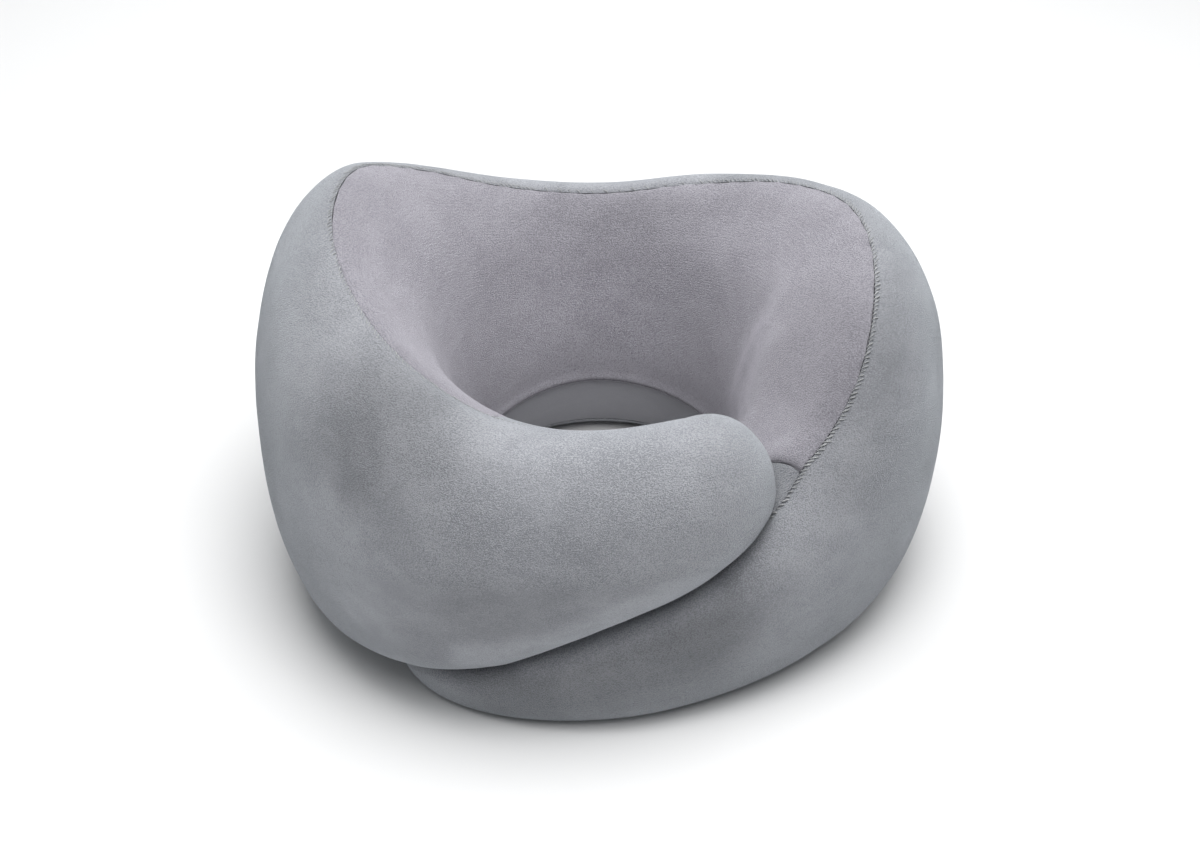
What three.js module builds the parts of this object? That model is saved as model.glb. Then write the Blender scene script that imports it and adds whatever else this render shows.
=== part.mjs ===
// A wrap-round neck pillow of moulded foam in a plush cover, lying on its base with its left arm lapped
// over the right. Millimetres, +Z up. The wearer's neck goes down the middle, the tall back is at +Y and the
// lapped arms are at -Y. The pillow is lofted round the neck hole. A turn is an angle round the hole in degrees,
// from the front (-Y) towards the right arm's side (+X), so 90 is the right side, 180 the back, 270 the left
// side and 360 the front again.

import * as THREE from 'three';
import { LoftGeometry } from 'three/addons/geometries/LoftGeometry.js';
import { mergeVertices } from 'three/addons/utils/BufferGeometryUtils.js';

// Driving dimensions.
const clothThickness = 2.5; // of the sewn panels, plush with its knitted back
const sewnGap = 0.3; // between a panel and what it lies on or is sewn to
const lapGap = 0.6; // between the upper arm and the lower one
const floorSoftness = 4; // how softly the foam turns where the floor presses it flat
const lapSoftness = 14; // and where the arms press each other
const seamDraw = 1.2; // how far a seam draws the cover in
const seamReach = 9; // how far from the seam that shows
const hemHeight = 33; // of the seam above the floor, inside the neck hole
const hemShares = [ 0.24, 0.4 ]; // least and most of a section's height that lies under that seam
const floor = 0;

// Turns at which the neck panel is sewn to the two end panels.
const neckPanelTurns = { first: 44, last: 332 };

// Rounded tips of the arms.
const noseTurns = 20;
const noseBluntness = 2.4;
const noseSections = 8;
const panelTipSection = 6; // the section of the rounded tip at which an end panel stops

// One row for each station round the neck hole. The first rows are the right arm's tip, which lies underneath,
// and the last rows are the left arm's tip, on top of it.
// hole: radius of the neck hole at its hem. reach: radius of the outside. foot, top: heights of the unpressed
// foam. topAt: radius of the highest line. brim: radius at which the wall of the hole opens out, and rise its
// height. belly: height of the widest line as a share of the whole. seam: where the crest seam lies, in steps
// of the section's curve from the highest line, negative on the neck side.
const stations = [
	{ turn: -47, hole: 74, reach: 115, foot: -9, top: 34, topAt: 97, brim: 76, rise: 20, belly: 0.50, seam: -0.3 },
	{ turn: -25, hole: 68, reach: 122, foot: -9, top: 44, topAt: 96, brim: 70, rise: 28, belly: 0.50, seam: -0.2 },
	{ turn: 0, hole: 61, reach: 120.5, foot: -9, top: 58, topAt: 95, brim: 63, rise: 36, belly: 0.50, seam: 0.0 },
	{ turn: 25, hole: 60, reach: 118.5, foot: -9, top: 74, topAt: 97, brim: 63, rise: 48, belly: 0.51, seam: 0.0 },
	{ turn: 45, hole: 58, reach: 122, foot: -9, top: 90, topAt: 100, brim: 62, rise: 62, belly: 0.51, seam: 0.2 },
	{ turn: 60, hole: 56, reach: 127, foot: -9, top: 105, topAt: 103, brim: 62, rise: 76, belly: 0.51, seam: 0.1 },
	{ turn: 80, hole: 55, reach: 132, foot: -9, top: 123, topAt: 105, brim: 62, rise: 92, belly: 0.52, seam: -0.1 },
	{ turn: 105, hole: 55, reach: 135, foot: -9, top: 136, topAt: 106, brim: 66, rise: 102, belly: 0.52, seam: -0.2 },
	{ turn: 130, hole: 57, reach: 128, foot: -9, top: 129, topAt: 106, brim: 68, rise: 98, belly: 0.52, seam: -0.3 },
	{ turn: 155, hole: 61, reach: 121, foot: -9, top: 119, topAt: 99, brim: 69, rise: 89, belly: 0.51, seam: -0.4 },
	{ turn: 180, hole: 64, reach: 117, foot: -9, top: 113, topAt: 92, brim: 70, rise: 84, belly: 0.51, seam: -0.4 },
	{ turn: 205, hole: 60, reach: 121, foot: -9, top: 118, topAt: 98, brim: 69, rise: 90, belly: 0.51, seam: -0.4 },
	{ turn: 230, hole: 55, reach: 129, foot: -9, top: 136, topAt: 107, brim: 69, rise: 102, belly: 0.51, seam: -0.3 },
	{ turn: 250, hole: 55, reach: 133, foot: -9, top: 150, topAt: 105, brim: 68, rise: 112, belly: 0.51, seam: -0.2 },
	{ turn: 280, hole: 56, reach: 132, foot: -9, top: 143, topAt: 99, brim: 66, rise: 106, belly: 0.51, seam: -0.1 },
	{ turn: 305, hole: 57, reach: 133.5, foot: -9, top: 127, topAt: 94, brim: 65, rise: 95, belly: 0.45, seam: -0.2 },
	{ turn: 330, hole: 58, reach: 132, foot: -2, top: 114, topAt: 90, brim: 63, rise: 90, belly: 0.42, seam: -0.6 },
	{ turn: 355, hole: 58, reach: 124, foot: 28, top: 112, topAt: 87, brim: 61, rise: 88, belly: 0.46, seam: -0.9 },
	{ turn: 385, hole: 57, reach: 116, foot: 44, top: 112, topAt: 84, brim: 60, rise: 88, belly: 0.47, seam: -1.0 },
	{ turn: 403, hole: 56, reach: 107, foot: 52, top: 108, topAt: 84, brim: 59, rise: 88, belly: 0.46, seam: -1.0 },
];
const firstTurn = stations[ 0 ].turn;
const lastTurn = stations.at( - 1 ).turn;

// The face on which the arms press against each other: its height at two radii, by turn.
const lapInnerRadius = 60;
const lapOuterRadius = 130;
const lapRows = [
	{ turn: -58, inner: -8, outer: -8 },
	{ turn: -52, inner: -4, outer: -4 },
	{ turn: -46, inner: 7, outer: 7 },
	{ turn: -38, inner: 14, outer: 12 },
	{ turn: -30, inner: 20, outer: 18 },
	{ turn: 0, inner: 40, outer: 42 },
	{ turn: 18, inner: 42, outer: 60 },
	{ turn: 30, inner: 46, outer: 80 },
	{ turn: 36, inner: 52, outer: 85 },
	{ turn: 42, inner: 66, outer: 97 },
	{ turn: 50, inner: 120, outer: 130 },
];
const lapReach = 62; // turns either side of the front over which that face is felt

// Where the loft has its sections: even steps, closer where the right arm gives way to the left arm's tip.
const spans = [
	{ from: firstTurn + noseTurns, to: 24, step: 6 },
	{ from: 24, to: 36, step: 4 },
	{ from: 36, to: 48, step: 1.4 },
	{ from: 48, to: 54, step: 2 },
	{ from: 54, to: neckPanelTurns.last, step: 6 },
	{ from: neckPanelTurns.last, to: lastTurn - noseTurns, step: 6 },
];

// The section's curve has nine steps: 0 top, 1 outer shoulder, 2 belly, 3 heel, 4 and 5 foot, 6 hem, 7 brim,
// 8 neck face, and 9 is the top again.
const curveSteps = 9;
const hemAt = 6;
const bandAt = 5.45; // the lower edge of the hem band, just over the floor
const outerSegments = 20;
const bandSegments = 2;
const neckSegments = 12;

// A smooth value between the rows of a table.
function between( rows, column, turn ) {

	const last = rows.length - 1;
	if ( turn <= rows[ 0 ].turn ) return rows[ 0 ][ column ];
	if ( turn >= rows[ last ].turn ) return rows[ last ][ column ];
	const i = rows.findIndex( ( row ) => row.turn > turn ) - 1;
	const slope = ( k ) => {

		const a = rows[ Math.max( k - 1, 0 ) ];
		const b = rows[ Math.min( k + 1, last ) ];
		return ( b[ column ] - a[ column ] ) / ( b.turn - a.turn );

	};

	const step = rows[ i + 1 ].turn - rows[ i ].turn;
	const t = ( turn - rows[ i ].turn ) / step;
	const t2 = t * t;
	const t3 = t2 * t;
	return ( 2 * t3 - 3 * t2 + 1 ) * rows[ i ][ column ] + ( t3 - 2 * t2 + t ) * step * slope( i )
		+ ( 3 * t2 - 2 * t3 ) * rows[ i + 1 ][ column ] + ( t3 - t2 ) * step * slope( i + 1 );

}

// The larger of two heights, turning smoothly from one to the other over a softness.
function softMax( a, b, softness ) {

	const h = Math.max( softness - Math.abs( a - b ), 0 ) / softness;
	return Math.max( a, b ) + h * h * softness / 4;

}

function softMin( a, b, softness ) {

	return - softMax( - a, - b, softness );

}

function lapHeight( turn, radius ) {

	const share = ( radius - lapInnerRadius ) / ( lapOuterRadius - lapInnerRadius );
	const [ inner, outer ] = [ 'inner', 'outer' ].map( ( column ) => between( lapRows, column, turn ) );
	return THREE.MathUtils.lerp( inner, outer, THREE.MathUtils.clamp( share, - 0.2, 1.2 ) );

}

// The closed curve of the unpressed foam at a station, as radius (x) and height (y).
function foamCurve( turn ) {

	const at = ( column ) => between( stations, column, turn );
	const [ hole, reach, foot, top, topAt, brim, rise, belly ] =
		[ 'hole', 'reach', 'foot', 'top', 'topAt', 'brim', 'rise', 'belly' ].map( at );
	const width = reach - hole;
	const height = top - foot;
	const point = ( radius, share ) => new THREE.Vector3( radius, foot + share * height, 0 );
	return new THREE.CatmullRomCurve3( [
		point( topAt, 1 ),
		point( topAt + 0.74 * ( reach - topAt ), 0.86 ),
		point( reach, belly ),
		point( reach - 0.11 * width, 0.17 ),
		point( reach - 0.40 * width, 0 ),
		point( hole + 0.36 * width, 0 ),
		point( hole, THREE.MathUtils.clamp( ( hemHeight - foot ) / height, ...hemShares ) ),
		new THREE.Vector3( brim, rise, 0 ),
		new THREE.Vector3( ( brim + topAt ) / 2, THREE.MathUtils.lerp( rise, top, 0.66 ), 0 ),
	], true, 'centripetal' );

}

// How much a section shrinks inside an arm's rounded tip.
function noseScale( turn ) {

	const left = Math.min( turn - firstTurn, lastTurn - turn );
	const u = THREE.MathUtils.clamp( 1 - left / noseTurns, 0, 1 );
	return Math.pow( 1 - Math.pow( u, noseBluntness ), 1 / noseBluntness );

}

// A section of the pillow at one turn. Its points are asked for by their step on the curve.
class Section {

	constructor( turn ) {

		const at = ( column ) => between( stations, column, turn );
		this.turn = turn;
		this.curve = foamCurve( turn );
		this.centre = new THREE.Vector3( at( 'hole' ) + at( 'reach' ), at( 'foot' ) + at( 'top' ), 0 ).divideScalar( 2 );
		this.scale = noseScale( turn );
		this.crestAt = curveSteps + at( 'seam' );
		this.seams = [ this.crestAt, hemAt, bandAt ].map( ( step ) => this.pressed( step ) );

	}

	// The foam, shrunk in a rounded tip, then pressed by the other arm and by the floor.
	pressed( step ) {

		const p = this.curve.getPoint( THREE.MathUtils.euclideanModulo( step / curveSteps, 1 ) );
		p.sub( this.centre ).multiplyScalar( this.scale ).add( this.centre );
		const underLap = lapHeight( this.turn, p.x ) - lapGap / 2;
		const overLap = lapHeight( this.turn - 360, p.x ) + lapGap / 2;
		if ( this.turn < lapReach ) p.y = softMin( p.y, underLap, lapSoftness );
		if ( this.turn > 360 - lapReach ) p.y = softMax( p.y, overLap, lapSoftness );
		p.y = softMax( p.y, floor, floorSoftness );
		return p;

	}

	// The direction along the curve at a step, and how far one step takes it there.
	along( step ) {

		const near = 0.05;
		return this.pressed( step + near ).sub( this.pressed( step - near ) ).divideScalar( 2 * near );

	}

	// The step that lies a distance further along the section.
	moved( step, distance ) {

		return step + distance / this.along( step ).length();

	}

	// A point of the cover, drawn in near the seams, or the point that lies a depth under it.
	skin( step, depth ) {

		const p = this.pressed( step );
		const near = Math.min( ...this.seams.map( ( seam ) => seam.distanceTo( p ) ) );
		const drawn = p.y > seamDraw ? seamDraw * Math.max( 1 - near / seamReach, 0 ) ** 2 : 0;
		const along = this.along( step ).normalize();
		return p.add( new THREE.Vector3( - along.y, along.x, 0 ).multiplyScalar( - depth - drawn ) );

	}

	// Skin points in the pillow's own space.
	row( steps, depth ) {

		const angle = THREE.MathUtils.degToRad( this.turn );
		return steps.map( ( step ) => {

			const p = this.skin( step, depth );
			return new THREE.Vector3( p.x * Math.sin( angle ), - p.x * Math.cos( angle ), p.y );

		} );

	}

}

function evenSteps( from, to, count ) {

	return Array.from( { length: count + 1 }, ( _, i ) => from + ( to - from ) * i / count );

}

// The turns of all sections, from the right arm's tip to the left arm's tip.
const noseInset = 0.2; // turns between a tip's last section and its very end
const tipTurns = evenSteps( 0, 1, noseSections ).map( ( s ) => Math.max( noseTurns * s * s, noseInset ) );
const turns = [ ...new Set( [
	...tipTurns.map( ( t ) => firstTurn + t ),
	...spans.flatMap( ( { from, to, step } ) => evenSteps( from, to, Math.ceil( ( to - from ) / step ) ) ),
	...tipTurns.map( ( t ) => lastTurn - t ),
] ) ].sort( ( a, b ) => a - b );

// The turns over which the panels run, from one arm's tip to the other's.
const panelTurns = {
	first: firstTurn + tipTurns[ panelTipSection ],
	last: lastTurn - tipTurns[ panelTipSection ],
};

// The end of a round solid is gathered in its middle.
function gathered( section ) {

	const middle = new THREE.Vector3();
	for ( const p of section ) middle.addScaledVector( p, 1 / section.length );
	return section.map( () => middle );

}

// At the cut edge of a panel each outer point meets the inner point behind it halfway.
function halved( section ) {

	return section.map( ( p, i ) => p.clone().lerp( section.at( - 1 - i ), 0.5 ) );

}

// One closed solid through a list of sections, both ends closed in the same way.
function solid( sections, closing ) {

	const loft = new LoftGeometry( [ closing( sections[ 0 ] ), ...sections, closing( sections.at( - 1 ) ) ] );
	const skin = new THREE.BufferGeometry();
	skin.setAttribute( 'position', loft.getAttribute( 'position' ) );
	skin.setIndex( loft.index );
	const geometry = mergeVertices( skin, 1e-5 );
	const corners = geometry.index.array;
	const kept = [];
	for ( let i = 0; i < corners.length; i += 3 ) {

		const [ a, b, c ] = corners.slice( i, i + 3 );
		if ( a !== b && b !== c && c !== a ) kept.push( a, b, c );

	}

	geometry.setIndex( kept );
	geometry.computeVertexNormals();
	return geometry;

}

// The steps over which the neck-side pieces lie.
const onNeckFace = ( section ) => evenSteps( hemAt, section.crestAt, neckSegments );
const onHemBand = () => evenSteps( bandAt, hemAt, bandSegments );

// The cushion: foam and outer cover, with a shallow recess on the neck side in which the panels lie.
function cushion() {

	const recess = clothThickness + sewnGap;
	const near = 0.01; // turns either side of a section, in which a recess begins or ends
	const isWithin = ( turn, range ) => turn > range.first && turn < range.last;
	const sections = [];
	for ( const turn of turns ) {

		const section = new Section( turn );
		const outerSteps = evenSteps( section.crestAt - curveSteps, bandAt, outerSegments );
		const [ crest, ...outer ] = section.row( outerSteps, 0 );
		const [ before, after ] = [ turn - near, turn + near ].map( ( t ) => [
			...section.row( onHemBand( section ), isWithin( t, neckPanelTurns ) ? recess : 0 ),
			...section.row( onNeckFace( section ), isWithin( t, panelTurns ) ? recess : 0 ),
		] );
		sections.push( [ ...outer, ...before, crest ], [ ...outer, ...after, crest ] );

	}

	return solid( sections, gathered );

}

// A row at any turn lies straight between those of the cushion's own sections.
function rowBetween( turn, rowAt ) {

	const next = turns.findIndex( ( t ) => t >= turn );
	if ( turns[ next ] === turn ) return rowAt( turn );
	const nextRow = rowAt( turns[ next ] );
	const share = ( turn - turns[ next - 1 ] ) / ( turns[ next ] - turns[ next - 1 ] );
	return rowAt( turns[ next - 1 ] ).map( ( p, i ) => p.lerp( nextRow[ i ], share ) );

}

// A sewn panel between two turns and between two steps of the section.
function panel( from, to, stepsOf ) {

	const rowAt = ( turn ) => {

		const section = new Section( turn );
		const steps = stepsOf( section );
		steps[ 0 ] = section.moved( steps[ 0 ], sewnGap );
		steps.push( section.moved( steps.pop(), - sewnGap ) );
		return [ ...section.row( steps, 0 ), ...section.row( steps.reverse(), clothThickness ) ];

	};

	const inside = turns.filter( ( turn ) => turn > from && turn < to );
	return solid( [ from, ...inside, to ].map( ( turn ) => rowBetween( turn, rowAt ) ), halved );

}

const plush = new THREE.MeshStandardMaterial( { color: 0x9da0a6, roughness: 0.95 } );
const neckPlush = new THREE.MeshStandardMaterial( { color: 0x98969d, roughness: 0.95 } );
const bandKnit = new THREE.MeshStandardMaterial( { color: 0x6f6e73, roughness: 0.9 } );

// The panels stand back by the sewn gap where they end against the cushion or against each other.
const gapTurns = 0.45;
const tips = { first: panelTurns.first + gapTurns, last: panelTurns.last - gapTurns };
const neckEnds = { first: neckPanelTurns.first + gapTurns, last: neckPanelTurns.last - gapTurns };

const neckPanel = panel( neckEnds.first, neckEnds.last, onNeckFace );
const rightEndPanel = panel( tips.first, neckPanelTurns.first, onNeckFace );
const leftEndPanel = panel( neckPanelTurns.last, tips.last, onNeckFace );
const hemBand = panel( neckEnds.first, neckEnds.last, onHemBand );

const pieces = [
	{ name: 'cushion', geometry: cushion(), material: plush },
	{ name: 'neck_panel', geometry: neckPanel, material: neckPlush },
	{ name: 'right_end_panel', geometry: rightEndPanel, material: plush },
	{ name: 'left_end_panel', geometry: leftEndPanel, material: plush },
	{ name: 'hem_band', geometry: hemBand, material: bandKnit },
];

const pillow = new THREE.Group();
for ( const { name, geometry, material } of pieces ) {

	const mesh = new THREE.Mesh( geometry, material );
	mesh.name = name;
	pillow.add( mesh );

}

// The origin is under the middle of the pillow, on the floor.
const middle = new THREE.Box3().setFromObject( pillow ).getCenter( new THREE.Vector3() );
pillow.position.set( - middle.x, - middle.y, 0 );

export default pillow;
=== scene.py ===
import math
import random

import bpy
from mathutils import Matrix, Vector, noise
from mathutils.geometry import intersect_point_line
from mathutils.bvhtree import BVHTree
from mathutils.kdtree import KDTree


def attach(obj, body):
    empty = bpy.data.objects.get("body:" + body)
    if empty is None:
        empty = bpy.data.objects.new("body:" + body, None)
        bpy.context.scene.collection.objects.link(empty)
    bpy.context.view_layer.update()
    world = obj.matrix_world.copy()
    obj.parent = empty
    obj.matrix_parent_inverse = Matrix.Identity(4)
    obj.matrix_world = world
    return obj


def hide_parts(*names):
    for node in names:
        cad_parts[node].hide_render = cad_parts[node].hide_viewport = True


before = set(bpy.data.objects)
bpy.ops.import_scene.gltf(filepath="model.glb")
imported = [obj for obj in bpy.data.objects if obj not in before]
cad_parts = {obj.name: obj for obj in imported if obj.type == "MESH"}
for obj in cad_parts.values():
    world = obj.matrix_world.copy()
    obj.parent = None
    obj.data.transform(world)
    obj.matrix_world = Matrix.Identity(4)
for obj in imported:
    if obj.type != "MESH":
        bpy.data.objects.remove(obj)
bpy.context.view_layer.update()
scene = bpy.context.scene
print("frame loaded:", len(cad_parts), "nodes")

# The axis of the neck hole. A turn is an angle round it in degrees, from the front towards the right arm's side:
# -47 is the right arm's tip, underneath, 180 the back and 403 the left arm's tip, on top.
holeAxis = Vector((-0.000876, 0.003349, 0))
# the middle of the foam at some turns: turn, radius, height
foamMiddle = [(-47, 0.094, 0.015), (0, 0.092, 0.024), (45, 0.090, 0.040), (80, 0.094, 0.057), (105, 0.095, 0.064),
              (180, 0.091, 0.052), (250, 0.094, 0.070), (305, 0.095, 0.058), (355, 0.091, 0.070), (403, 0.082, 0.080)]


def smoothStep(low, high, value):
    share = min(max((value - low) / (high - low), 0), 1)
    return share * share * (3 - 2 * share)


# 1 on a line, falling softly to 0 at a width from it
def bell(distance, width):
    return 1 - smoothStep(0, width, abs(distance))


# the values at a place between two rows, where each row's first number is its place
def valuesAt(rows, at):
    for low, high in zip(rows, rows[1:]):
        if at <= high[0]:
            share = min(max((at - low[0]) / (high[0] - low[0]), 0), 1)
            return [a + (b - a) * share for a, b in zip(low[1:], high[1:])]
    return list(rows[-1][1:])


def plainTurn(point):
    return math.degrees(math.atan2(point.x - holeAxis.x, holeAxis.y - point.y))


def radiusOf(point):
    return math.hypot(point.x - holeAxis.x, point.y - holeAxis.y)


def outwardFrom(point):
    return Vector((point.x - holeAxis.x, point.y - holeAxis.y, 0)).normalized()


def foamCentre(point, turn):
    radius, height = valuesAt(foamMiddle, turn)
    return Vector((holeAxis.x, holeAxis.y, height)) + outwardFrom(point) * radius


# Each point's turn, counted on from edge to edge, so that the arm above and the arm below are kept apart.
def turnsOf(piece, near):
    points = piece.data.vertices
    neighbours = [[] for point in points]
    for edge in piece.data.edges:
        a, b = edge.vertices
        neighbours[a].append(b)
        neighbours[b].append(a)
    offset = [(plainTurn(point.co) - near + 180) % 360 - 180 for point in points]
    start = min(range(len(points)), key=lambda i: (abs(offset[i]) > 1, -points[i].co.z))
    turns = [None] * len(points)
    turns[start] = near + offset[start]
    reached = [start]
    for i in reached:
        for j in neighbours[i]:
            if turns[j] is None:
                turns[j] = turns[i] + (offset[j] - offset[i] + 180) % 360 - 180
                reached.append(j)
    return turns


def deselectAll():
    if bpy.context.object and bpy.context.object.mode != "OBJECT":
        bpy.ops.object.mode_set(mode="OBJECT")
    bpy.ops.object.select_all(action="DESELECT")


def pick(piece):
    deselectAll()
    piece.select_set(True)
    bpy.context.view_layer.objects.active = piece


def applyModifiers(piece):
    pick(piece)
    for name in [modifier.name for modifier in piece.modifiers]:
        bpy.ops.object.modifier_apply(modifier=name)


def subdivide(piece, levels):
    modifier = piece.modifiers.new("subdivide", "SUBSURF")
    modifier.levels = modifier.render_levels = levels
    applyModifiers(piece)


# a merged copy of a CAD node in quads, its sewn edges rounded
def copyOfNode(node, name, edgeRound):
    piece = bpy.data.objects.new(name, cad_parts[node].data.copy())
    scene.collection.objects.link(piece)
    piece.data.materials.clear()
    pick(piece)
    bpy.ops.mesh.customdata_custom_splitnormals_clear()
    bpy.ops.object.mode_set(mode="EDIT")
    bpy.ops.mesh.select_mode(type="EDGE")
    bpy.ops.mesh.select_all(action="SELECT")
    bpy.ops.mesh.remove_doubles(threshold=0.00001)
    bpy.ops.mesh.tris_convert_to_quads(face_threshold=math.radians(70), shape_threshold=math.radians(70))
    bpy.ops.mesh.select_all(action="DESELECT")
    bpy.ops.mesh.edges_select_sharp(sharpness=math.radians(50))
    bpy.ops.mesh.bevel(offset=edgeRound, segments=2, affect="EDGES", clamp_overlap=True)
    bpy.ops.object.mode_set(mode="OBJECT")
    return piece


# a lookup of the nearest place on some objects' faces
def surfaceOf(pieces):
    points, faces = [], []
    for piece in pieces:
        first = len(points)
        points += [vertex.co.copy() for vertex in piece.data.vertices]
        faces += [[first + i for i in face.vertices] for face in piece.data.polygons]
    return BVHTree.FromPolygons(points, faces)


# moves each point out along its normal by rise(point, normal, turn)
def shape(piece, turns, rise):
    moves = [vertex.normal * rise(vertex.co, vertex.normal, turn) for vertex, turn in zip(piece.data.vertices, turns)]
    for vertex, move in zip(piece.data.vertices, moves):
        vertex.co += move
    piece.data.update()


# Marks in the pile's tone, darker where dark is above 0 and lighter where it is below. Each lies along a line of
# places, reaches as far as its size and keeps to the arm that its turns give. Most are painted shade and painted light:
# shade on the left arm's upper face, on the right slope, in the valley under the upper arm and high on the neck's back
# wall, and light where the arms meet, on the upper arm's rims, on the neck's fold, low on the neck, along the back
# crest and low on the left arm's outer side. The small dark patch on the left arm and the small light one on the right
# arm are brushed nap.
shadeAndNapMarks = [
    # painted shade on the left arm's upper face and outer side
    {"along": [(-0.070, -0.080, 0.1125)], "size": 0.046, "dark": 0.5, "turns": (290, 350)},
    {"along": [(-0.095, -0.072, 0.109)], "size": 0.035, "dark": 0.2, "turns": (290, 350)},
    {"along": [(-0.0876, -0.0893, 0.0916)], "size": 0.012, "dark": 0.2, "turns": (290, 350)},
    # painted shade in the valley under the upper arm
    {"along": [(-0.036, -0.113, 0.023), (-0.011, -0.116, 0.0305), (0.013, -0.115, 0.037), (0.033, -0.110, 0.041)],
     "size": 0.034, "dark": 0.65, "turns": (-47, 60)},
    # painted light where the lower arm meets the upper arm
    {"along": [(-0.025, -0.1074, 0.0316), (-0.0064, -0.1075, 0.0388), (0.0135, -0.104, 0.046), (0.034, -0.099, 0.053)],
     "size": 0.012, "dark": -0.7, "turns": (-47, 60)},
    {"along": [(-0.0386, -0.1188, 0.060)], "size": 0.03, "dark": 0.2, "turns": (325, 403)},
    # painted shade in the valley under the upper arm, towards its tip
    {"along": [(0.036, -0.109, 0.043), (0.054, -0.100, 0.051)], "size": 0.026, "dark": 0.2, "turns": (-47, 60)},
    # painted light on the upper arm's lower rim
    {"along": [(-0.0465, -0.115, 0.0385), (-0.022, -0.116, 0.045), (0.006, -0.116, 0.057), (0.0305, -0.110, 0.0655),
               (0.0465, -0.1015, 0.070)], "size": 0.012, "dark": -0.6, "turns": (325, 403)},
    # painted highlight along the upper arm's top inner edge
    {"along": [(-0.0456, -0.0794, 0.1128), (-0.0196, -0.0876, 0.1114), (0.0096, -0.083, 0.1119),
               (0.0376, -0.0747, 0.1112)], "size": 0.018, "dark": -0.3, "turns": (325, 403)},
    {"along": [(0.096, -0.061, 0.0906)], "size": 0.045, "dark": 0.35, "turns": (20, 90)},
    {"along": [(0.0912, -0.0765, 0.0641)], "size": 0.009, "dark": -0.25, "turns": (20, 90)},
    # painted shade on the right slope
    {"along": [(0.0786, -0.0252, 0.1058)], "size": 0.045, "dark": 0.45, "turns": (45, 130)},
    # painted light on the neck's fold, along two lines
    {"along": [(0.0529, 0.0127, 0.0598), (0.056, 0.0111, 0.0775), (0.0584, 0.0115, 0.0866), (0.0611, 0.0103, 0.0942)],
     "size": 0.014, "dark": -0.4, "turns": (80, 115)},
    {"along": [(0.0543, -0.003, 0.0705), (0.056, -0.0069, 0.0802), (0.0594, -0.0013, 0.0893), (0.0635, 0.0033, 0.0986)],
     "size": 0.014, "dark": -0.4, "turns": (70, 115)},
    # painted light low on the left arm's outer side
    {"along": [(-0.0935, -0.092, 0.0536), (-0.105, -0.0798, 0.0621)], "size": 0.04, "dark": -0.3, "turns": (290, 330)},
    {"along": [(0.1161, -0.0252, 0.1081), (0.1215, -0.0009, 0.1147)], "size": 0.03, "dark": 0.3, "turns": (50, 110)},
    # painted shade high on the neck's back wall
    {"along": [(0.0035, 0.0843, 0.1034)], "size": 0.045, "dark": 0.25, "turns": (130, 230)},
    # painted light low on the neck
    {"along": [(-0.005, 0.0675, 0.058), (-0.005, 0.0675, 0.040)], "size": 0.06, "dark": -0.6, "turns": (130, 230)},
    # painted highlight along the back crest
    {"along": [(0.0405, 0.094, 0.1165), (0.024, 0.0975, 0.113), (-0.005, 0.0995, 0.112), (-0.034, 0.097, 0.115)],
     "size": 0.012, "dark": -0.5, "turns": (130, 230)},
]


# how much the marks darken or lighten the pile at a point: mostly painted shade and painted light, some brushed nap
def darkOf(point, turn):
    dark = 0
    for mark in shadeAndNapMarks:
        if mark["turns"][0] <= turn <= mark["turns"][1]:
            line = [Vector(place) for place in mark["along"]]
            away = min((point - place).length for place in line)
            for a, b in zip(line, line[1:]):
                nearest, share = intersect_point_line(point, a, b)
                if 0 < share < 1:
                    away = min(away, (point - nearest).length)
            dark += mark["dark"] * (1 - smoothStep(0.25, 1, away / mark["size"]))
    return dark


# the pillow's and the foam's mean radius, along and round which the knit runs, and how dark lying nap looks
knit = {"alongRadius": 0.095, "aroundRadius": 0.045, "lyingDark": 0.14}


def nowhere(point, turn):
    return 0


# weave: the knit's own directions in metres, x along the arm and y round it.
# the second attribute: x how dark the pile is made, by the marks' painted shade and painted light, brushed nap and
# lying nap, y how smoothly it lies, z how much painted shade lies along a seam, where the pile also parts.
def layWeave(piece, turns, lyingOf, partedAndShadedOf):
    mesh = piece.data
    napAndShade = mesh.attributes.new("napAndShade", "FLOAT_VECTOR", "POINT")
    places = []
    for vertex, turn in zip(mesh.vertices, turns):
        radius, height = valuesAt(foamMiddle, turn)
        around = math.atan2(radiusOf(vertex.co) - radius, vertex.co.z - height)
        places.append((math.radians(turn) * knit["alongRadius"], around))
        lying = lyingOf(vertex.co, turn)
        # painted shade and painted light from the marks, with the darker lying nap
        dark = darkOf(vertex.co, turn) + knit["lyingDark"] * lying
        napAndShade.data[vertex.index].vector = (dark, lying, partedAndShadedOf(vertex.co, turn))
    weave = mesh.attributes.new("weave", "FLOAT_VECTOR", "CORNER")
    for face in mesh.polygons:
        first = places[face.vertices[0]][1]
        for corner, i in zip(face.loop_indices, face.vertices):
            along, around = places[i]
            around += 2 * math.pi * round((first - around) / (2 * math.pi))
            weave.data[corner].vector = (along, around * knit["aroundRadius"], 0)


# smooth, in its material, riding on the pillow, in place of its CAD node if it has one
def finishPiece(piece, slot, material, node=None):
    piece.data.materials.clear()
    piece.data.materials.append(material)
    pick(piece)
    bpy.ops.object.shade_smooth()
    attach(piece, "root")
    if node:
        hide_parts(node)
    print(piece.name + ":", len(piece.data.polygons), "faces")
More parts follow.
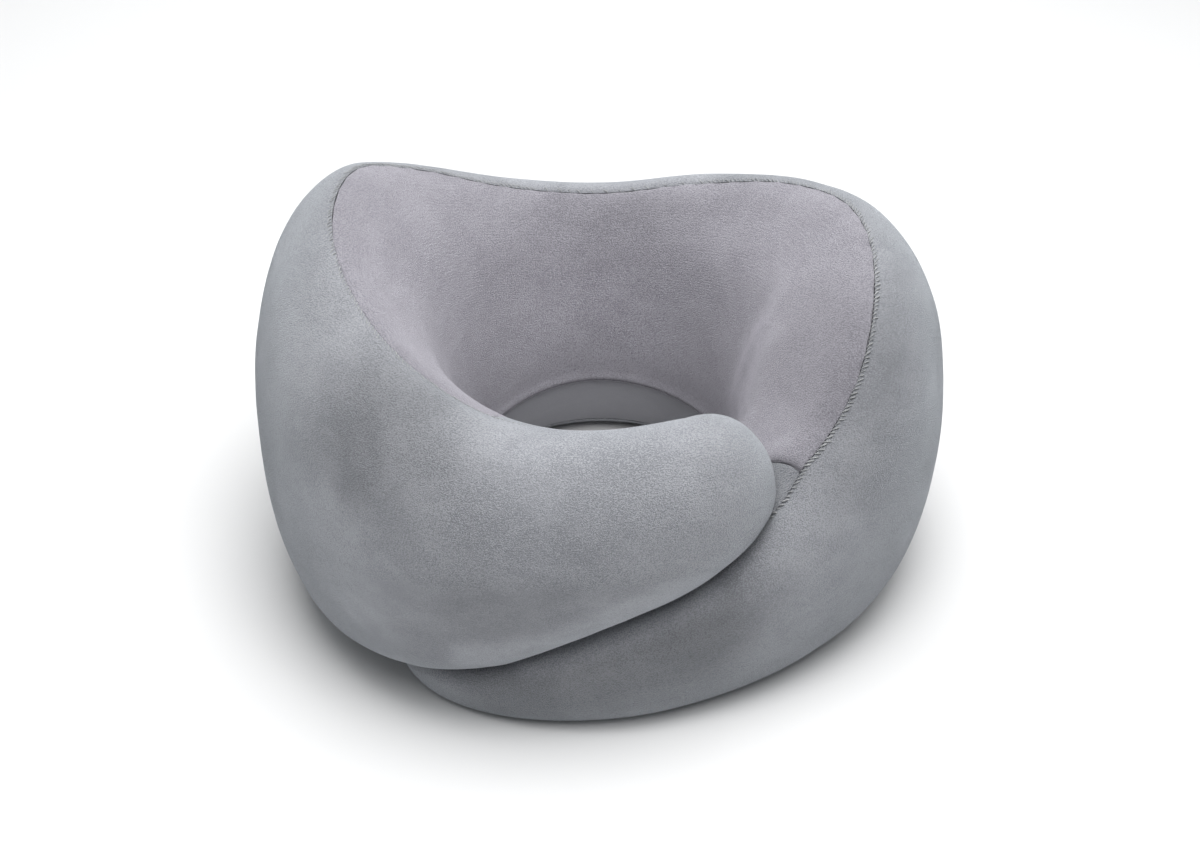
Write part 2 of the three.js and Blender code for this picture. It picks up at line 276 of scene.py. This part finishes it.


# The plush is short cut pile on a fine knit. Its tone runs from dark to light with the tufts, with the way the nap
# has been brushed and, faintly, with the knit's rows. On top of that it carries painted shade and painted light, from
# the marks and along the seams.
def plushMaterial(name, plush):
    material = bpy.data.materials.new(name)
    material.use_nodes = True
    nodes, links = material.node_tree.nodes, material.node_tree.links
    shader = nodes["Principled BSDF"]

    def add(kind, settings=None, inputs=None):
        made = nodes.new("ShaderNode" + kind)
        for key, value in (settings or {}).items():
            setattr(made, key, value)
        for key, value in (inputs or {}).items():
            if isinstance(value, bpy.types.NodeSocket):
                links.new(value, made.inputs[key])
            else:
                made.inputs[key].default_value = value
        return made

    def stretched(vector, scale):
        return add("Mapping", inputs={"Vector": vector, "Scale": scale}).outputs["Vector"]

    def cloudy(vector, scale, detail, roughness=0.5, distortion=0.0):
        return add("TexNoise", inputs={"Vector": vector, "Scale": scale, "Detail": detail, "Roughness": roughness,
                                       "Distortion": distortion}).outputs["Fac"]

    def ranged(value, low, high, least=0.0, most=1.0):
        return add("MapRange", {"interpolation_type": "SMOOTHSTEP"},
                   {"Value": value, "From Min": low, "From Max": high, "To Min": least,
                    "To Max": most}).outputs["Result"]

    def reckon(operation, first, second, third=0):
        return add("Math", {"operation": operation}, {0: first, 1: second, 2: third}).outputs["Value"]

    place = add("TexCoord").outputs["Object"]
    weave = add("Attribute", {"attribute_name": "weave"}).outputs["Vector"]
    napAndShade = add("SeparateXYZ", inputs={"Vector": add("Attribute", {"attribute_name": "napAndShade"}).outputs["Vector"]})

    patches = ranged(cloudy(place, plush["patchScale"], 2, 0.5, 0.5), 0.4, 0.6, -1, 1)
    strokes = ranged(cloudy(stretched(place, (1, 1, 2)), plush["strokeScale"], 3, 0.6, 0.8), 0.35, 0.65, -1, 1)
    tufts = ranged(cloudy(stretched(place, (1, 1, 1.7)), plush["tuftScale"], 2, 0.6), 0.32, 0.68, -1, 1)
    grain = ranged(cloudy(place, plush["grainScale"], 1), 0.32, 0.68, -1, 1)
    rough = ranged(cloudy(place, plush["roughScale"], 2), 0.3, 0.7, plush["smoothest"], 1)
    rough = reckon("MULTIPLY", rough, ranged(napAndShade.outputs["Y"], 0, 1, 1, plush["lyingGrain"]))
    rows = add("TexWave", {"bands_direction": "Y"}, {"Vector": weave, "Scale": plush["rowScale"], "Distortion": 2.0,
                                                     "Detail": 1.0}).outputs["Fac"]

    speckle = reckon("ADD", reckon("MULTIPLY", tufts, plush["tuftDepth"]),
                     reckon("MULTIPLY", grain, plush["grainDepth"]))
    speckle = reckon("MULTIPLY", speckle, rough)
    tone = reckon("ADD", speckle, 0.5)
    for value, depth in ((patches, plush["patchDepth"]), (strokes, plush["strokeDepth"]), (rows, plush["rowDepth"])):
        tone = reckon("ADD", tone, reckon("MULTIPLY", value, depth))
    mixed = add("MixRGB", inputs={"Fac": tone, "Color1": (*plush["dark"], 1), "Color2": (*plush["light"], 1)})
    # darker and lighter with the marks' painted shade and light and the nap, then darker with the painted shade along
    # seams
    shadedAndBrushed = reckon("MULTIPLY_ADD", napAndShade.outputs["X"], -plush["shadeAndBrushing"], 1)
    shadedAndBrushed = reckon("MULTIPLY", shadedAndBrushed, reckon("MULTIPLY_ADD", napAndShade.outputs["Z"], -plush["partingShade"], 1))
    shaded = add("VectorMath", {"operation": "SCALE"}, {0: mixed.outputs["Color"], "Scale": shadedAndBrushed})
    links.new(shaded.outputs["Vector"], shader.inputs["Base Color"])

    relief = reckon("ADD", speckle, reckon("MULTIPLY", rows, plush["rowRelief"]))
    bump = add("Bump", inputs={"Height": relief, "Strength": plush["bumpStrength"], "Distance": plush["bumpHeight"]})
    links.new(bump.outputs["Normal"], shader.inputs["Normal"])

    shader.inputs["Roughness"].default_value = 0.95
    shader.inputs["Specular IOR Level"].default_value = 0.1
    shader.inputs["Sheen Weight"].default_value = plush["sheen"]
    shader.inputs["Sheen Roughness"].default_value = plush["sheenRoughness"]
    shader.inputs["Sheen Tint"].default_value = (*plush["sheenTint"], 1)
    return material


coverPlush = {
    "dark": (0.19, 0.195, 0.212), "light": (0.33, 0.335, 0.357),
    "patchScale": 22, "patchDepth": 0.12, "strokeScale": 60, "strokeDepth": 0.10, "lyingGrain": 0.5,
    "tuftScale": 1800, "tuftDepth": 0.62, "grainScale": 3000, "grainDepth": 0.5, "roughScale": 26, "smoothest": 0.55,
    "rowScale": 300, "rowDepth": 0.05, "rowRelief": 0.12, "bumpStrength": 0.8, "bumpHeight": 0.0002,
    # the last two: how strongly the marks' painted shade and light with the nap, and the painted shade along the seams,
    # darken the pile
    "sheen": 0.55, "sheenRoughness": 0.4, "sheenTint": (0.88, 0.94, 1.0), "shadeAndBrushing": 0.5, "partingShade": 0.65,
}
neckPlush = {
    **coverPlush,
    "dark": (0.195, 0.188, 0.212), "light": (0.335, 0.325, 0.358),
    "patchScale": 24, "tuftDepth": 0.75, "rowDepth": 0.10, "rowRelief": 0.25, "smoothest": 0.65,
    "sheenTint": (0.94, 0.91, 1.0),
}
bandKnit = {
    **coverPlush,
    "dark": (0.195, 0.195, 0.211), "light": (0.24, 0.24, 0.257),
    "tuftDepth": 0.15, "grainDepth": 0.1, "patchDepth": 0.05, "sheen": 0.15,
}
seamThread = {
    **coverPlush,
    "dark": (0.30, 0.305, 0.31), "light": (0.46, 0.465, 0.47), "sheen": 0.2,
}
coverMaterial = plushMaterial("coverPlush", coverPlush)
neckMaterial = plushMaterial("neckPlush", neckPlush)
bandMaterial = plushMaterial("bandKnit", bandKnit)
threadMaterial = plushMaterial("seamThread", seamThread)
print("materials made")

# The crest seam runs along the upper corner of the panels' outer side.
seams = {
    "crestRows": [("right_end_panel", -47, 60), ("neck_panel", 40, 340), ("left_end_panel", 325, 403)],
    # how dark the painted shade beside the crest seam is, where the seam also parts the nap: turn, share
    "crestPartedShade": [(-47, 0.4), (85, 0.5), (110, 0.3), (140, 0.12), (403, 0.15)], "crestWidth": 0.0017,
    # the painted shade along the hem seam: its height, strength, width, turns and reach
    "hemHeight": 0.0337, "hemPartedShade": 1.0, "hemWidth": 0.0012, "hemTurns": (115, 245), "hemReach": 0.072,
    # the corner is the highest point of each eighth of a turn's degree, counting this share of its radius as height
    "outward": 0.55, "rowsInTurn": 8,
}


def crestLine():
    rows = {}
    for node, low, high in seams["crestRows"]:
        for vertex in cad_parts[node].data.vertices:
            turn = low + (plainTurn(vertex.co) - low) % 360
            score = vertex.co.z + seams["outward"] * radiusOf(vertex.co)
            row = round(turn * seams["rowsInTurn"])
            if turn <= high and score > rows.get(row, (0,))[0]:
                rows[row] = (score, turn, vertex.co.copy())
    return [rows[key][1:] for key in sorted(rows)]


crest = crestLine()
seamPoints = KDTree(len(crest))
for i, (turn, place) in enumerate(crest):
    seamPoints.insert(place, i)
seamPoints.balance()
sewnNodes = ("neck_panel", "right_end_panel", "left_end_panel", "hem_band")
panelSurface = surfaceOf([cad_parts[node] for node in sewnNodes])
print("crest seam:", len(crest), "points")


# painted shade along the crest seam and the hem seam, darkest on the seam line, where the pile also parts
def partedAndShadedOf(point, turn):
    partedShade = bell(seamPoints.find(point)[2], seams["crestWidth"]) * valuesAt(seams["crestPartedShade"], turn)[0]
    if seams["hemTurns"][0] < turn < seams["hemTurns"][1] and radiusOf(point) < seams["hemReach"]:
        partedShade = max(partedShade, bell(point.z - seams["hemHeight"], seams["hemWidth"]) * seams["hemPartedShade"])
    return partedShade


# The cover with the foam in it. A little pressure swells it between the seams, the floor and the other arm.
coverShape = {
    "edgeRound": 0.0008, "slack": 0.0003, "pressure": 120.0, "stiffness": 5.0, "frames": 20, "mostSwell": 0.003,
    "lumpSize": 0.034, "lumpHeight": 0.0006, "dimpleSize": 0.011, "dimpleHeight": 0.00012, "offFloor": (0.001, 0.014),
    # the soft ridge along the front of the upper arm, below which the nap lies down: turn, height
    "ridge": [(300, 0.060), (316, 0.063), (328, 0.065), (340, 0.0705), (352, 0.0725), (377, 0.0725), (395, 0.071)],
    "ridgeHeight": 0.0005, "ridgeWidth": 0.010, "ridgeStart": (305, 325), "ridgeEnd": (384, 398),
    "ridgeRadius": (0.098, 0.108), "ridgeAbove": 0.002, "lyingFrom": 0.0008, "lyingWhollyFrom": -0.0012,
    # how far the upper arm's lower rim is filled out: turn, height of the rim, push
    "rim": [(325, 0.024, 0), (336, 0.031, 0.0018), (343, 0.0345, 0.0028), (349, 0.040, 0.0026), (357, 0.047, 0.0024),
            (367, 0.057, 0.0006), (374, 0.064, 0)],
    "rimDepth": 0.024, "rimRadius": (0.109, 0.118), "roomUsed": 0.4, "mostRoom": 0.02,
    # how far off the cloth a ray towards the other arm starts, and how near to a panel the cloth is under it
    "ray": 0.0003, "underPanel": 0.0009,
    # from where the cloth is held to where it is free: distance from a seam, the floor and the other arm
    "freeOfSeam": (0.002, 0.014), "freeOfFloor": (0.001, 0.012), "freeOfArm": (0.002, 0.012), "heldBelow": 0.02,
}


# the small unevenness of foam and cloth, none where it lies on the floor
def lumpy(point):
    coarse = noise.noise(point / coverShape["lumpSize"]) * coverShape["lumpHeight"]
    fine = noise.noise(point / coverShape["dimpleSize"]) * coverShape["dimpleHeight"]
    return (coarse + fine) * smoothStep(*coverShape["offFloor"], point.z)


def alongRidge(point, turn):
    ends = smoothStep(*coverShape["ridgeStart"], turn) * (1 - smoothStep(*coverShape["ridgeEnd"], turn))
    return ends * smoothStep(*coverShape["ridgeRadius"], radiusOf(point))


def underRidge(point, turn):
    height = valuesAt(coverShape["ridge"], turn)[0]
    lying = 1 - smoothStep(height + coverShape["lyingWhollyFrom"], height + coverShape["lyingFrom"], point.z)
    return alongRidge(point, turn) * lying


# the fuller lower rim of the upper arm, kept clear of the arm under it
def rimFullness(point, normal, turn):
    rimHeight, push = valuesAt(coverShape["rim"], turn)
    push *= smoothStep(*coverShape["rimRadius"], radiusOf(point))
    push *= 1 - smoothStep(0, coverShape["rimDepth"], point.z - rimHeight)
    if push < 0.00001:
        return 0
    most = coverShape["mostRoom"]
    room = shapedSurface.ray_cast(point + normal * coverShape["ray"], normal, most)[3] or most
    return min(push, coverShape["roomUsed"] * room)


def coverRise(point, normal, turn):
    if panelSurface.find_nearest(point)[3] < coverShape["underPanel"]:
        return 0
    height = valuesAt(coverShape["ridge"], turn)[0]
    ridge = bell(point.z - height - coverShape["ridgeAbove"], coverShape["ridgeWidth"]) * coverShape["ridgeHeight"]
    return lumpy(point) + alongRidge(point, turn) * ridge + rimFullness(point, normal, turn)


# how free each point of the cover is to swell: 0 where it is sewn, lies on the floor or touches the other arm
def freedomOf(piece):
    ownSurface = surfaceOf([piece])
    most = coverShape["freeOfArm"][1]
    freedom = []
    for vertex in piece.data.vertices:
        fromSeam = panelSurface.find_nearest(vertex.co)[3]
        rayStart = vertex.co + vertex.normal * coverShape["ray"]
        fromArm = ownSurface.ray_cast(rayStart, vertex.normal, most)[3] or most
        freedom.append(min(smoothStep(*coverShape["freeOfSeam"], fromSeam),
                           smoothStep(*coverShape["freeOfFloor"], vertex.co.z),
                           smoothStep(*coverShape["freeOfArm"], fromArm)))
    return freedom


# Cloth pressure from a slightly smaller shape, and a soft cap on how far each point moves.
def swell(piece):
    freedom = freedomOf(piece)
    shape(piece, freedom, lambda point, normal, free: -coverShape["slack"] * free)
    before = [vertex.co.copy() for vertex in piece.data.vertices]
    group = piece.vertex_groups.new(name="held")
    for i, free in enumerate(freedom):
        group.add([i], 1.0 if free < coverShape["heldBelow"] else 0.0, "REPLACE")
    cloth = piece.modifiers.new("cloth", "CLOTH")
    cloth.settings.quality = 5
    cloth.settings.mass = 0.1
    cloth.settings.use_pressure = True
    cloth.settings.uniform_pressure_force = coverShape["pressure"]
    cloth.settings.tension_stiffness = cloth.settings.compression_stiffness = coverShape["stiffness"]
    cloth.settings.shear_stiffness = coverShape["stiffness"] / 2
    cloth.settings.vertex_group_mass = "held"
    cloth.settings.effector_weights.gravity = 0
    cloth.point_cache.frame_start = 1
    cloth.point_cache.frame_end = coverShape["frames"]
    for step in range(1, coverShape["frames"] + 1):
        scene.frame_set(step)
    applyModifiers(piece)
    scene.frame_set(1)
    piece.vertex_groups.clear()
    most = coverShape["mostSwell"]
    total = 0
    for vertex, start in zip(piece.data.vertices, before):
        moved = vertex.co - start
        total += moved.length
        vertex.co = start + moved * (1 - math.exp(-moved.length / most)) * most / max(moved.length, 1e-9)
    piece.data.update()
    print("cloth pressure moved the cover by", round(total / len(before) * 1000, 2), "mm on average, before the cap")


cover = copyOfNode("cushion", "cover", coverShape["edgeRound"])
subdivide(cover, 1)
swell(cover)
subdivide(cover, 1)
coverTurns = turnsOf(cover, 180)
shapedSurface = surfaceOf([cover])
shape(cover, coverTurns, coverRise)
layWeave(cover, coverTurns, underRidge, partedAndShadedOf)
finishPiece(cover, "plush", coverMaterial, "cushion")

# The four sewn panels lie in the cover's recess, plumped a little between their seams.
panelShape = {
    "edgeRound": 0.0004, "plump": 0.0007, "plumpWidth": (0.0005, 0.012),
    # the soft fold on the right of the neck: height, turn
    "fold": [(0.050, 99), (0.060, 98), (0.076, 96), (0.089, 95), (0.101, 94), (0.110, 97), (0.120, 101)],
    "foldHeight": 0.0010, "foldWidth": 0.009, "foldFoot": (0.052, 0.066), "foldTop": (0.106, 0.118),
    # the rolled lower edge of the neck panel over the hem seam
    "hem": 0.0345, "rollHeight": 0.0008, "rollWidth": 0.004, "bandSunk": 0.0008,
}


def isOuter(point, normal, turn):
    return normal.dot(point - foamCentre(point, turn)) > 0


def plumped(point):
    return smoothStep(*panelShape["plumpWidth"], seamPoints.find(point)[2]) * panelShape["plump"]


def neckRise(point, normal, turn):
    if not isOuter(point, normal, turn):
        return 0
    crease = valuesAt(panelShape["fold"], point.z)[0]
    across = math.radians(turn - crease) * radiusOf(point)
    ends = smoothStep(*panelShape["foldFoot"], point.z) * (1 - smoothStep(*panelShape["foldTop"], point.z))
    fold = bell(across, panelShape["foldWidth"]) * ends * panelShape["foldHeight"]
    roll = bell(point.z - panelShape["hem"], panelShape["rollWidth"]) * panelShape["rollHeight"]
    return lumpy(point) + plumped(point) + fold + roll


def endRise(point, normal, turn):
    return plumped(point) if isOuter(point, normal, turn) and turn > 300 else 0


# the band stands back under the rolled edge of the neck panel
def bandRise(point, normal, turn):
    if not isOuter(point, normal, turn):
        return 0
    return -bell(point.z - panelShape["hem"], panelShape["rollWidth"]) * panelShape["bandSunk"]


panels = [
    {"name": "neckPanel", "node": "neck_panel", "slot": "neck_plush", "material": neckMaterial, "near": 180,
     "rise": neckRise, "flat": (0.12, 0.47), "area": 0.0385},
    {"name": "rightEndPanel", "node": "right_end_panel", "slot": "plush", "material": coverMaterial, "near": 0,
     "rise": endRise, "flat": (0.07, 0.13), "area": 0.0058},
    {"name": "leftEndPanel", "node": "left_end_panel", "slot": "plush", "material": coverMaterial, "near": 360,
     "rise": endRise, "flat": (0.06, 0.10), "area": 0.0043},
    {"name": "hemBand", "node": "hem_band", "slot": "band_knit", "material": bandMaterial, "near": 180,
     "rise": bandRise, "flat": (0.035, 0.31), "area": 0.0098},
]
for panel in panels:
    piece = copyOfNode(panel["node"], panel["name"], panelShape["edgeRound"])
    subdivide(piece, 2)
    panelTurns = turnsOf(piece, panel["near"])
    shape(piece, panelTurns, panel["rise"])
    layWeave(piece, panelTurns, nowhere, partedAndShadedOf)
    finishPiece(piece, panel["slot"], panel["material"], panel["node"])
    area = sum(face.area for face in piece.data.polygons) / 2
    spans = [min(panelTurns), max(panelTurns)]
    print(panel["name"], "area of one side", round(area, 5), "turns", [round(t) for t in spans])

# Threads that cross the crest seam at a slant, from the panel's edge on to the cover: stoutest on the right.
stitching = {
    "pitch": 0.0019, "reach": 0.0018, "slant": 0.0022, "arch": 0.0003, "sunk": 0.0005, "uneven": 0.35,
    "inset": 0.0002, "raised": 0.3,
    # thickness by turn
    "thick": [(-47, 0.0005), (85, 0.00055), (105, 0.0004), (140, 0.0003), (220, 0.0003), (403, 0.0003)],
}


# places at an even pitch along a line, with the line's turn and direction there
def evenPlaces(line, pitch):
    places = []
    left = pitch / 2
    for (turnA, a), (turnB, b) in zip(line, line[1:]):
        length = (b - a).length
        while left < length:
            share = left / length
            places.append((turnA + (turnB - turnA) * share, a.lerp(b, share), (b - a).normalized()))
            left += pitch
        left -= length
    return places


deselectAll()
bpy.ops.mesh.primitive_cylinder_add(vertices=6, radius=0.5, depth=1, end_fill_type="NGON")
oneStitch = bpy.context.object
oneStitch.name = "oneStitch"
bpy.ops.object.mode_set(mode="EDIT")
bpy.ops.mesh.select_mode(type="EDGE")
bpy.ops.mesh.select_all(action="DESELECT")
bpy.ops.object.mode_set(mode="OBJECT")
for edge in oneStitch.data.edges:
    a, b = (oneStitch.data.vertices[i].co for i in edge.vertices)
    edge.select = abs(a.z - b.z) > 0.5
bpy.ops.object.mode_set(mode="EDIT")
bpy.ops.mesh.subdivide_edgering(number_cuts=3, smoothness=0)
bpy.ops.object.mode_set(mode="OBJECT")
print("one stitch:", len(oneStitch.data.polygons), "faces")

coverSurface = surfaceOf([cover])
random.seed(11)
threads = []
for turn, place, ahead in evenPlaces(crest, stitching["pitch"]):
    up = place - foamCentre(place, turn)
    up = (up - ahead * up.dot(ahead)).normalized()
    side = ahead.cross(up)
    longer, leaning, thicker = (1 + stitching["uneven"] * random.uniform(-1, 1) for each in range(3))
    thick = valuesAt(stitching["thick"], turn)[0] * thicker
    slant = stitching["slant"] / 2 * leaning
    start = place - (side + up) * stitching["inset"] - ahead * slant
    target = place + side * stitching["reach"] * longer + ahead * slant
    end, endNormal = coverSurface.find_nearest(target)[:2]
    along = (end - start).normalized()
    lift = up + endNormal
    lift = (lift - along * lift.dot(along)).normalized()
    across = along.cross(lift)
    mesh = oneStitch.data.copy()
    for vertex in mesh.vertices:
        x, y, z = vertex.co
        taper = 1 - 0.5 * abs(2 * z) ** 3
        arch = stitching["arch"] * (1 - (2 * z) ** 2) - stitching["sunk"] * (2 * z) ** 6 + stitching["raised"] * thick
        vertex.co = start.lerp(end, z + 0.5) + lift * (arch + y * thick * taper) + across * x * thick * taper
    thread = bpy.data.objects.new("thread" + str(len(threads)), mesh)
    scene.collection.objects.link(thread)
    threads.append(thread)
bpy.data.objects.remove(oneStitch)
deselectAll()
for thread in threads:
    thread.select_set(True)
bpy.context.view_layer.objects.active = threads[0]
bpy.ops.object.join()
crestStitches = bpy.context.object
crestStitches.name = "crestStitches"
bpy.ops.object.mode_set(mode="EDIT")
bpy.ops.mesh.select_all(action="SELECT")
bpy.ops.mesh.normals_make_consistent(inside=False)
bpy.ops.object.mode_set(mode="OBJECT")
stitchTurns = [plainTurn(vertex.co) for vertex in crestStitches.data.vertices]
layWeave(crestStitches, stitchTurns, nowhere, nowhere)
finishPiece(crestStitches, "plush", threadMaterial)
print(len(threads), "stitches on the crest seam")

# Floor, light and camera.
paleFloor = {"size": 20, "colour": (0.7, 0.7, 0.7), "roughness": 0.8}
deselectAll()
bpy.ops.mesh.primitive_plane_add(size=paleFloor["size"], location=(0, 0, 0))
floor = bpy.context.object
floor.name = "floor"
floorMaterial = bpy.data.materials.new("paleFloor")
floorMaterial.use_nodes = True
floorShader = floorMaterial.node_tree.nodes["Principled BSDF"]
floorShader.inputs["Base Color"].default_value = (*paleFloor["colour"], 1)
floorShader.inputs["Roughness"].default_value = paleFloor["roughness"]
floor.data.materials.append(floorMaterial)

studio = {
    "air": 0.33, "airColour": (0.93, 0.97, 1.0), "aimedAt": (0, 0, 0.06),
    "lamps": [
        {"name": "topLight", "at": (0.0, 0.0, 1.2), "size": 1.0, "watts": 11.5, "colour": (1.0, 0.995, 0.99)},
        {"name": "frontLight", "at": (0.1, -0.45, 1.15), "size": 0.9, "watts": 7.5, "colour": (1.0, 1.0, 1.0)},
        {"name": "rightLight", "at": (0.45, 0.1, 1.1), "size": 0.9, "watts": 3, "colour": (1.0, 1.0, 1.0)},
        {"name": "backLight", "at": (-0.1, 0.8, 0.7), "size": 0.9, "watts": 3, "colour": (1.0, 1.0, 1.0)},
    ],
}
world = bpy.data.worlds.new("studioAir")
scene.world = world
world.use_nodes = True
world.node_tree.nodes["Background"].inputs["Color"].default_value = (*studio["airColour"], 1)
world.node_tree.nodes["Background"].inputs["Strength"].default_value = studio["air"]
for lamp in studio["lamps"]:
    deselectAll()
    bpy.ops.object.light_add(type="AREA", location=lamp["at"])
    light = bpy.context.object
    light.name = lamp["name"]
    light.data.shape = "DISK"
    light.data.size = lamp["size"]
    light.data.energy = lamp["watts"]
    light.data.color = lamp["colour"]
    light.rotation_euler = (Vector(studio["aimedAt"]) - Vector(lamp["at"])).to_track_quat("-Z", "Y").to_euler()

# the photo's angle, for an image of 1200 by 848
view = {"target": Vector((-0.00088, 0.00335, 0.055)), "away": 0.82, "elevation": 35, "lens": 62.4}
slope = math.radians(view["elevation"])
deselectAll()
bpy.ops.object.camera_add(location=view["target"] + Vector((0, -math.cos(slope), math.sin(slope))) * view["away"])
camera = bpy.context.object
camera.name = "photoCamera"
camera.rotation_euler = (view["target"] - camera.location).to_track_quat("-Z", "Y").to_euler()
camera.data.lens = view["lens"]
camera.data.sensor_width = 36
scene.camera = camera
scene.view_settings.view_transform = "Standard"
